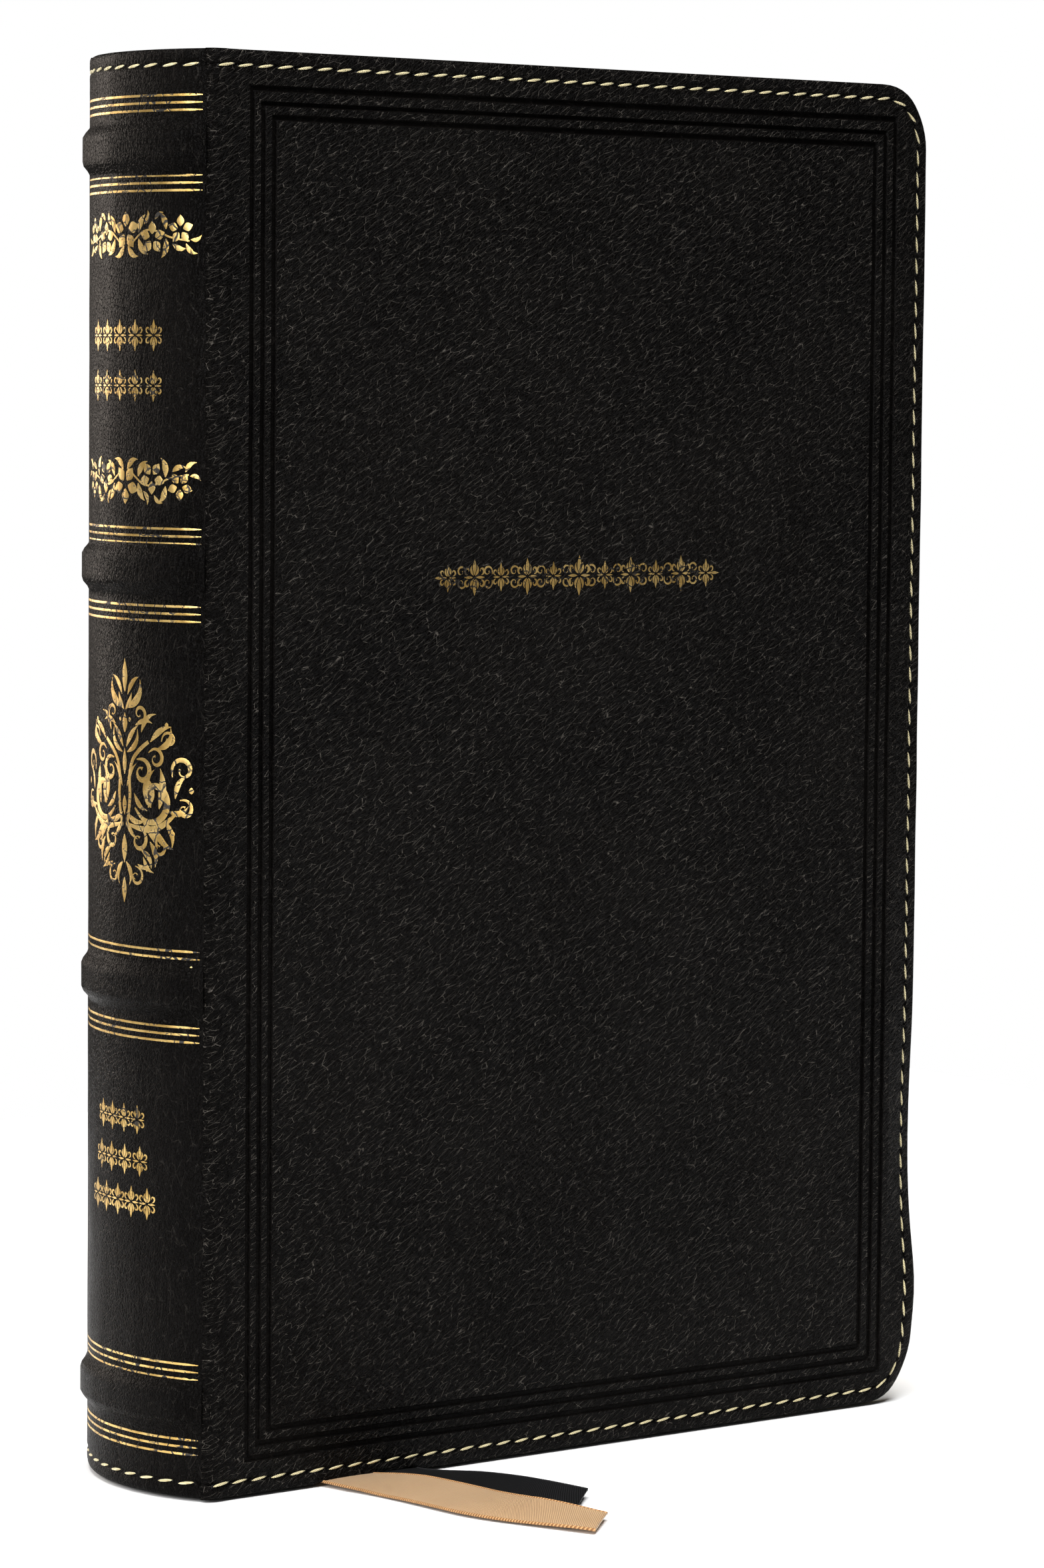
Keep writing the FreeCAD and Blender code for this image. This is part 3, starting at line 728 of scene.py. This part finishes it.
def cover_stitching(side):
    outer, hole_shade_blobs, inner = (bmesh.new() for _ in range(3))
    up = Vector((0, 0, 1))
    for x, z, turn in cover_places():
        along = Vector((math.cos(turn), math.sin(turn), 0))
        middle = Vector((x, z, COVER_DEPTH - 0.24 + lie(side, x, z)))
        stitch(outer, hole_shade_blobs, middle, along, up)
        if x > LINING_LOW.x + 1.6:
            stitch(inner, None, Vector((x, z, LINING_THREAD)), along, -up)
    for bm in (outer, hole_shade_blobs, inner):
        bmesh.ops.transform(bm, matrix=to_side(side), verts=bm.verts)
        bmesh.ops.recalc_face_normals(bm, faces=bm.faces)
    seam = piece_from(outer, f"{side}_cover_thread", STITCH_THREAD, [f"{side}_stitching"])
    bends(seam, side)
    bends(piece_from(hole_shade_blobs, f"{side}_painted_hole_shades", HOLE_SHADE_FINISH), side)
    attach(piece_from(inner, f"{side}_lining_thread", STITCH_THREAD), f"{side}_cover")


def spine_stitching():
    thread_bm, hole_shade_blobs = bmesh.new(), bmesh.new()
    count = 9
    for z in (STITCH_EDGE, HEIGHT - STITCH_EDGE):
        for n in range(count):
            u = (n - (count - 1) / 2) * 3.75
            middle = Vector((u, z, spine_height(u, z) + 0.02))
            stitch(thread_bm, hole_shade_blobs, middle, Vector((1, 0, 0)), Vector((0, 0, 1)))
    for bm in (thread_bm, hole_shade_blobs):
        round_spine(bm)
        bmesh.ops.recalc_face_normals(bm, faces=bm.faces)
    seam = piece_from(thread_bm, "spine_thread", STITCH_THREAD, ["spine_stitching"])
    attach(seam, "book_block")
    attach(piece_from(hole_shade_blobs, "spine_painted_hole_shades", HOLE_SHADE_FINISH), "book_block")


for side in ("front", "back"):
    cover_stitching(side)
spine_stitching()

# ------------------------------------------------------------------ gold tooling


LEAF_BREADTH = 0.70


class Tooling:
    """Strokes of gold drawn flat: each point has a place and half a breadth."""

    def __init__(self):
        self.curve = bpy.data.curves.new("strokes", "CURVE")
        self.curve.dimensions = "3D"
        self.curve.bevel_depth, self.curve.bevel_resolution = 1.0, 1
        self.curve.resolution_u = 4
        self.curve.use_fill_caps = True
        self.origin, self.mirrored = Vector((0, 0)), False

    def at(self, u, v, mirrored=True):
        self.origin, self.mirrored = Vector((u, v)), mirrored
        return self

    def stroke(self, points):
        for side in (1, -1) if self.mirrored else (1,):
            spline = self.curve.splines.new("NURBS")
            spline.points.add(len(points) - 1)
            for point, (u, v, half) in zip(spline.points, points):
                point.co = (self.origin.x + side * u, self.origin.y + v, 0, 1)
                point.radius = max(half, 0.03)
            spline.order_u = 3
            spline.use_endpoint_u = True

    def leaf(self, u, v, angle, length, width, curl=0.0):
        """A pointed leaf from its stem, curling to one side."""
        width *= LEAF_BREADTH
        points, way = [], math.radians(angle)
        for share, wide in ((0, 0.12), (0.18, 0.6), (0.42, 1.0), (0.66, 0.8), (0.86, 0.35), (1, 0.03)):
            bend = way + curl * share * share
            points.append((u + length * share * math.cos(bend), v + length * share * math.sin(bend),
                           width / 2 * wide))
        self.stroke(points)

    def scroll(self, u, v, start, size, width, way=1, turns=1.15):
        """A curl round a centre that winds in to a bud."""
        width *= LEAF_BREADTH
        steps, points = 13, []
        for n in range(steps + 1):
            share = n / steps
            reach = size * (1 - 0.78 * share ** 1.1)
            turn = math.radians(start) + way * turns * 2 * math.pi * share
            wide = 0.25 + 0.75 * math.sin(min(1.0, share * 1.35) * math.pi) ** 0.8 if share < 0.74 else 0.3
            points.append((u + reach * math.cos(turn), v + reach * math.sin(turn), width / 2 * wide))
        u1, v1, _ = points[-1]
        points[-1] = (u1, v1, width * 0.34)
        self.stroke(points)

    def bead(self, u, v, size):
        self.stroke([(u, v - size / 2, 0.05), (u, v - size / 4, size * 0.42), (u, v + size / 4, size * 0.42),
                     (u, v + size / 2, 0.05)])

    def rule(self, low, high, v, breadth):
        """A straight line with rounded ends."""
        count = max(4, round((high - low) / 1.6))
        halves = [breadth / 2 * (0.35 if n in (0, count) else 1.0) for n in range(count + 1)]
        self.at(0, v, False).stroke([(low + (high - low) * n / count, 0.0, half)
                                     for n, half in enumerate(halves)])

    def gilt(self, name, height, rounder, body, side=None):
        """Presses the strokes flat on the leather and makes them a piece."""
        holder = bpy.data.objects.new("strokes", self.curve)
        mesh = bpy.data.meshes.new_from_object(holder)
        bm = bmesh.new()
        bm.from_mesh(mesh)
        bmesh.ops.remove_doubles(bm, verts=bm.verts, dist=1e-4)
        for vert in bm.verts:
            vert.co.z = height(vert.co.x, vert.co.y) + 0.02 + vert.co.z * 0.05
        rounder(bm)
        bmesh.ops.recalc_face_normals(bm, faces=bm.faces)
        bpy.data.objects.remove(holder)
        bpy.data.meshes.remove(mesh)
        bpy.data.curves.remove(self.curve)
        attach(piece_from(bm, name, GOLD), body)


LINE_GROUPS = (8.05, 20.0, 73.0, 84.7, 137.0, 148.6, 200.35, 212.0)
SPINE_MIDDLE = 2.2       # the ornaments stand a little towards the front cover


def spine_rules():
    tooling = Tooling()
    for middle in LINE_GROUPS:
        for step in (-1.12, 0, 1.12):
            tooling.rule(-17.1, 17.1, HEIGHT - middle - step, 0.35)
    tooling.gilt("spine_gold_lines", spine_height, round_spine, "book_block")


def flower(tooling, u, v, size, turn):
    """Five petals round a bare middle."""
    for n in range(5):
        way = math.radians(turn + 72 * n)
        tooling.leaf(u + 0.26 * size * math.cos(way), v + 0.26 * size * math.sin(way), turn + 72 * n,
                     size * 0.86, size * 1.0)


def border(tooling, down, flip):
    """Flowers and pairs of leaves on a winding stem, alike on both hands."""
    tooling.at(SPINE_MIDDLE, HEIGHT - down, False)
    flower(tooling, 0, 0.6 * flip, 2.7, 90 * flip)
    tooling.at(SPINE_MIDDLE, HEIGHT - down)
    for u, v, size in ((5.9, -0.5, 2.3), (11.2, 0.7, 2.0)):
        flower(tooling, u, v * flip, size, 90 * flip)
    for u, v, angle, long, wide, curl in ((3.0, 0.4, 78, 3.0, 1.7, -0.3), (3.0, -0.6, -72, 3.1, 1.7, 0.4),
                                          (0.5, -1.6, -62, 2.9, 1.5, 0.5), (4.2, 1.6, 40, 2.2, 1.1, 0.5),
                                          (8.6, 0.8, 96, 2.8, 1.6, 0.4), (8.6, -0.6, -84, 3.0, 1.7, -0.4),
                                          (9.8, -1.4, -38, 2.6, 1.3, 0.4), (6.4, 2.2, 62, 2.0, 1.0, -0.5),
                                          (12.2, -1.4, -66, 2.4, 1.2, 0.5), (13.0, -0.8, -8, 1.9, 1.0, 0.5)):
        tooling.leaf(u, v * flip, angle * flip, long, wide, curl * flip)
    tooling.stroke([(0.6, -1.9 * flip, 0.12), (2.6, -0.3 * flip, 0.16), (4.6, 0.9 * flip, 0.14),
                    (7.6, 0.4 * flip, 0.16), (9.4, -0.6 * flip, 0.14), (12.8, -1.0 * flip, 0.10)])


MEDALLION_LEAVES = (
    (0.0, 13.6, 90, 5.1, 1.9, 0), (0.7, 13.2, 66, 4.0, 1.3, -0.35), (0.5, 11.2, 18, 5.4, 2.0, 0.65),
    (0.2, 10.9, 50, 3.0, 1.2, 0.2), (0.0, 7.4, 90, 3.0, 2.0, 0), (0.4, 5.2, 62, 4.4, 1.4, -0.2),
    (0.6, 4.4, 22, 4.4, 1.4, 0.6), (3.9, 7.6, 72, 4.2, 1.3, -0.5), (5.8, 6.2, 48, 4.8, 1.5, -0.3),
    (7.2, 5.2, 12, 4.2, 1.6, 0.7), (0.0, 1.0, 90, 4.0, 1.5, 0), (0.6, -0.8, 72, 4.2, 1.0, -0.25),
    (5.2, -3.4, 104, 5.6, 1.9, -0.5), (5.4, -3.8, 62, 4.4, 1.7, 0.5), (7.6, -3.9, 74, 6.2, 2.2, 0.25),
    (10.6, -2.2, 84, 4.2, 1.4, -0.45), (0.0, -2.2, -90, 3.0, 1.5, 0), (0.5, -4.8, -40, 4.6, 1.4, 0.5),
    (0.4, -5.6, -66, 4.2, 1.3, 0.3), (4.4, -6.2, -36, 4.8, 1.9, -0.3), (6.6, -6.6, -62, 5.0, 1.7, 0.35),
    (8.6, -5.6, -48, 4.4, 1.4, -0.4), (0.0, -8.2, -90, 4.4, 2.0, 0), (4.0, -10.4, -24, 3.4, 1.4, -0.5),
    (4.4, -11.4, -70, 3.2, 1.1, 0.4), (0.4, -12.4, -42, 3.6, 1.4, -0.6), (0.0, -14.8, -90, 3.9, 1.7, 0),
    (1.0, -13.0, -66, 2.6, 1.1, 0.3), (2.6, 8.6, 30, 3.6, 1.2, -0.4),
    (9.4, -4.2, -18, 3.8, 1.4, 0.6),
    (5.8, -9.0, -52, 4.0, 1.5, -0.4), (3.2, -12.6, -30, 2.6, 1.0, 0.5),
    (2.4, -1.8, -64, 3.8, 1.3, 0.4),
)
MEDALLION_SCROLLS = (
    (3.5, 10.4, 250, 1.5, 0.8, 1), (6.9, 3.7, 150, 1.7, 0.9, -1), (4.0, 1.6, 120, 2.1, 1.3, -1),
    (6.3, -2.6, 200, 4.0, 1.7, 1), (11.9, 2.1, 210, 2.1, 1.1, -1), (12.2, -3.8, 120, 1.6, 0.9, -1),
    (9.4, 6.6, 190, 1.4, 0.7, -1), (3.4, -8.9, 110, 2.0, 1.0, -1), (7.5, -9.9, 100, 1.5, 0.8, -1),
    (2.9, -14.5, 100, 1.6, 0.7, -1),
)


def medallion(tooling, down):
    """A pointed panel of leaves and scrolls, alike on both hands."""
    tooling.at(SPINE_MIDDLE, HEIGHT - down)
    for leaf in MEDALLION_LEAVES:
        tooling.leaf(*leaf)
    for scroll in MEDALLION_SCROLLS:
        tooling.scroll(*scroll)
    for u, v, size in ((13.4, -0.9, 1.0), (10.2, -7.6, 0.9), (5.2, -13.2, 0.8), (9.0, 8.9, 0.8),
                       (1.2, 9.4, 0.7)):
        tooling.bead(u, v, size)
    tooling.stroke([(0.5, -7.0, 0.25), (1.6, -3.0, 0.35), (1.0, 1.0, 0.3), (2.4, 4.4, 0.35), (5.4, 6.2, 0.3)])
    tooling.stroke([(1.0, -6.6, 0.2), (4.2, -7.4, 0.5), (8.4, -6.8, 0.5), (10.8, -4.4, 0.2)])


def fleuron(tooling, u, v, tall):
    """A flower: a tall petal up and down, a curl at each hand and a small leaf between."""
    tooling.at(u, v)
    for way in (1, -1):
        tooling.leaf(0, 0.07 * tall * way, 90 * way, tall * 0.46, tall * 0.20)
        tooling.leaf(0.03 * tall, 0.05 * tall * way, 48 * way, tall * 0.30, tall * 0.12, 0.5 * way)
        tooling.scroll(0.24 * tall, 0.19 * tall * way, -90 * way, 0.12 * tall, 0.10 * tall, way=way,
                       turns=0.8)
    tooling.leaf(0.06 * tall, 0, 0, tall * 0.30, tall * 0.12)


def spine_ornaments():
    tooling = Tooling()
    border(tooling, 27.7, 1)
    border(tooling, 64.7, -1)
    medallion(tooling, 110.5)
    rows = ((42.8, 4.5, 5, 3.9), (50.4, 4.5, 5, 3.9), (162.4, 4.2, 4, 3.2), (168.8, 4.4, 4, 3.6),
            (175.2, 4.6, 5, 3.5))
    for down, tall, count, pitch in rows:
        for n in range(count):
            fleuron(tooling, 0.6 + (n - (count - 1) / 2) * pitch, HEIGHT - down, tall)
    tooling.gilt("spine_gold_ornaments", spine_height, round_spine, "book_block")


def front_ornament():
    """A level spray of scrolls and flowers where a title would be."""
    tooling = Tooling()
    middle = FOLD_X + 68.4
    for n in range(11):
        u = (n - 5) * 5.1
        if n != 5:
            fleuron(tooling, middle + u, 140.2, 5.4 if n % 2 else 4.2)
    fleuron(tooling, middle, 140.2, 6.0)
    tooling.at(middle, 140.2)
    for n in range(5):
        tooling.scroll(2.55 + n * 5.1, 0.9, 210, 0.95, 0.45, way=-1)
        tooling.scroll(2.55 + n * 5.1, -0.9, 150, 0.95, 0.45, way=1)
    tooling.leaf(26.4, 0, 0, 1.7, 0.7)
    tooling.gilt("front_gold_ornament", lambda x, z: COVER_DEPTH + lie("front", x, z),
                 lambda bm: bmesh.ops.transform(bm, matrix=to_side("front"), verts=bm.verts), "front_cover")


spine_rules()
spine_ornaments()
front_ornament()

# ------------------------------------------------------------------ the pages

BACK_RADIUS = 25.24
PAGE_WIDTH = 134.93
HALF_BLOCK = 12.45


def page_half(side):
    """Half the pages: rounded back, hollowed fore-edge and rounded corners, shut past the ribbons."""
    way = -1 if side == "front" else 1
    bm = bmesh.new()
    bmesh.ops.create_grid(bm, x_segments=1, y_segments=16, size=0.5)
    for vert in bm.verts:
        y = 0.26 + (vert.co.y + 0.5) * (HALF_BLOCK - 0.26)
        back = SPINE_CENTRE - math.sqrt(BACK_RADIUS ** 2 - y * y)
        vert.co = (back + (vert.co.x + 0.5) * PAGE_WIDTH, way * y, PAGE_LOW.z)
    risen = bmesh.ops.extrude_face_region(bm, geom=bm.faces[:])["geom"]
    risen = [g for g in risen if isinstance(g, bmesh.types.BMVert)]
    bmesh.ops.translate(bm, vec=(0, 0, PAGE_HIGH.z - PAGE_LOW.z), verts=risen)
    bmesh.ops.recalc_face_normals(bm, faces=bm.faces)
    ends = (PAGE_LOW.z, PAGE_HIGH.z)
    corners = [e for e in bm.edges if all(v.co.x > 60 for v in e.verts)
               and min(abs(e.verts[0].co.z - z) for z in ends) < 0.01
               and abs(e.verts[0].co.z - e.verts[1].co.z) < 0.01]
    bmesh.ops.bevel(bm, geom=corners, affect="EDGES", offset=7, segments=8, profile=0.5, material=-1,
                    clamp_overlap=False)
    for past_ribbons in (-22, -8):
        cut(bm, 0, past_ribbons)
    for vert in bm.verts:
        if vert.co.x > -9 and abs(vert.co.y) < 0.27:
            vert.co.y = way * 0.03
    first = 1 if side == "front" else 9
    nodes = [f"gathering_{n:02d}" for n in range(first, first + 8)]
    piece = piece_from(bm, f"{side}_half_of_pages", GILT_PAPER, nodes)
    piece.data.polygons.foreach_set("use_smooth", [False] * len(piece.data.polygons))
    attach(piece, "book_block")


for side in ("front", "back"):
    page_half(side)

# ------------------------------------------------------------------ finishes of the parts carried over

CARRIED = {
    "head_band": banded_silk("striped_end_band"),
    "spine_stiffener": fibrous("grey_board", (0.36, 0.35, 0.33), (0.24, 0.23, 0.22), 900, 0.0001),
    "mull": fibrous("mull_cloth", (0.72, 0.69, 0.60), (0.42, 0.40, 0.34), 1600, 0.00012, weave=900),
    "spine_liner": fibrous("liner_paper", (0.60, 0.52, 0.40), (0.48, 0.41, 0.31), 1400, 0.00005),
    "sewing_thread": thread("linen_thread", (0.86, 0.83, 0.74), (0.58, 0.55, 0.47)),
    "front_lining": leather("cover_lining_sheet", (0, 0, 0), (1, 1, 1), 1700, 0.2, 0.5, 0.00006),
    "front_flyleaf": END_PAPER,
}
KINDS = {
    "head_band": ("tail_band",), "front_lining": ("back_lining",),
    "front_flyleaf": ("presentation_leaves", "title_leaves", "back_flyleaf", "map_leaves", "note_leaves"),
}
for first, material in CARRIED.items():
    for name in (first, *KINDS.get(first, ())):
        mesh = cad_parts[name].data
        mesh.materials.clear()
        mesh.materials.append(material)

# ------------------------------------------------------------------ floor and light


def floor():
    bm = bmesh.new()
    bmesh.ops.create_grid(bm, x_segments=1, y_segments=1, size=0.34)
    mesh = bpy.data.meshes.new("floor")
    bm.to_mesh(mesh)
    bm.free()
    finish = Finish("pale_floor", Roughness=0.9, Specular_IOR_Level=0.1)
    finish.feed(Base_Color=finish.between(finish.cloud(0.7), (0.90, 0.90, 0.90), (0.93, 0.93, 0.93)))
    mesh.materials.append(finish.material)
    made = bpy.data.objects.new("floor", mesh)
    made.location.z = -0.0004
    scene.collection.objects.link(made)


def lamp(name, place, aim, size, watts, colour=(1, 1, 1)):
    data = bpy.data.lights.new(name, "AREA")
    data.shape, data.size, data.size_y = "RECTANGLE", *size
    data.energy, data.color = watts, colour
    made = bpy.data.objects.new(name, data)
    made.location = place
    made.rotation_mode = "QUATERNION"
    made.rotation_quaternion = (Vector(aim) - Vector(place)).to_track_quat("-Z", "Y")
    scene.collection.objects.link(made)


def room():
    world = bpy.data.worlds.new("studio")
    world.use_nodes = True
    nodes, links = world.node_tree.nodes, world.node_tree.links
    seen = nodes.new("ShaderNodeLightPath")
    strength = nodes.new("ShaderNodeMapRange")
    links.new(seen.outputs["Is Camera Ray"], strength.inputs["Value"])
    strength.inputs["To Min"].default_value, strength.inputs["To Max"].default_value = 0.025, 1.0
    links.new(strength.outputs[0], nodes["Background"].inputs["Strength"])
    nodes["Background"].inputs["Color"].default_value = (1, 1, 1, 1)
    scene.world = world


floor()
sun = bpy.data.lights.new("overhead", "SUN")
sun.energy, sun.angle = 3.3, math.radians(50)
overhead = bpy.data.objects.new("overhead", sun)
scene.collection.objects.link(overhead)
lamp("key", (-1.1, -0.25, 0.55), (-0.05, 0, 0.11), (0.35, 1.0), 13)
lamp("rake", (-0.14, -0.34, 0.66), (-0.03, 0, 0.16), (0.45, 0.14), 3.0)
lamp("fill", (0.9, -1.3, 0.5), (0, 0, 0.1), (0.5, 0.5), 0.3)
lamp("edge", (-0.35, 1.25, 0.35), (-0.05, 0, 0.11), (0.9, 0.7), 10.0, (1.0, 0.88, 0.78))
room()
scene.view_settings.view_transform = "Standard"
